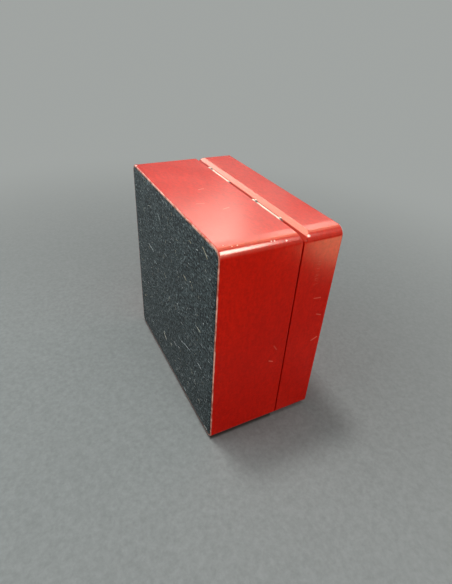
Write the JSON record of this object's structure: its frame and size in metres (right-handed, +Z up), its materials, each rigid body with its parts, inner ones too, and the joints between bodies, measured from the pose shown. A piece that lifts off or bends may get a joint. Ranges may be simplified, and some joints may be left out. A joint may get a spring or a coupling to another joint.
{
  "type": "jewelry case",
  "caption": "Square lacquered wooden jewelry case with a hinged lid, felt base, velvet lining, ring rolls and a mirror in the lid.",
  "frame": {"origin": "centre of the felt base, on its underside", "axes": "+Z up from the felt base to the lid, +Y to the back, where the hinges are, +X to the right seen from the front"},
  "size_m": [0.112, 0.112, 0.061],
  "materials": {
    "red_lacquer": "deep red semi-gloss lacquer over wood, worn pale along the base edge",
    "base_felt": "black felt with pale lint and loose fibres",
    "velvet": "black short-pile velvet",
    "hinge_metal": "bright nickel-plated steel",
    "mirror": "silvered glass with a narrow bevel"
  },
  "bodies": {
    "case": {"base_felt": "base_felt", "bottom_board": "red_lacquer", "front_wall": "red_lacquer", "back_wall": "red_lacquer", "left_wall": "red_lacquer", "right_wall": "red_lacquer", "front_liner": "velvet", "back_liner": "velvet", "left_liner": "velvet", "right_liner": "velvet", "floor_pad": "velvet", "ring_roll_1": "velvet", "ring_roll_2": "velvet", "ring_roll_3": "velvet", "ring_roll_4": "velvet", "divider": "velvet", "hinge_left_body_leaf": "hinge_metal", "hinge_left_pin": "hinge_metal", "hinge_left_body_screw_1": "hinge_metal", "hinge_left_body_screw_2": "hinge_metal", "hinge_right_body_leaf": "hinge_metal", "hinge_right_pin": "hinge_metal", "hinge_right_body_screw_1": "hinge_metal", "hinge_right_body_screw_2": "hinge_metal"},
    "lid": {"lid_front_rail": "red_lacquer", "lid_back_rail": "red_lacquer", "lid_left_rail": "red_lacquer", "lid_right_rail": "red_lacquer", "lid_top": "red_lacquer", "lid_lining": "velvet", "mirror": "mirror", "hinge_left_lid_leaf": "hinge_metal", "hinge_left_lid_screw_1": "hinge_metal", "hinge_left_lid_screw_2": "hinge_metal", "hinge_right_lid_leaf": "hinge_metal", "hinge_right_lid_screw_1": "hinge_metal", "hinge_right_lid_screw_2": "hinge_metal"}
  },
  "joints": [
    {"name": "lid_hinge", "type": "hinge", "parent": "case", "child": "lid", "pos_m": [0, 0.0542, 0.04], "axis": [-1, 0, 0], "range_deg": [0, 107]}
  ]
}
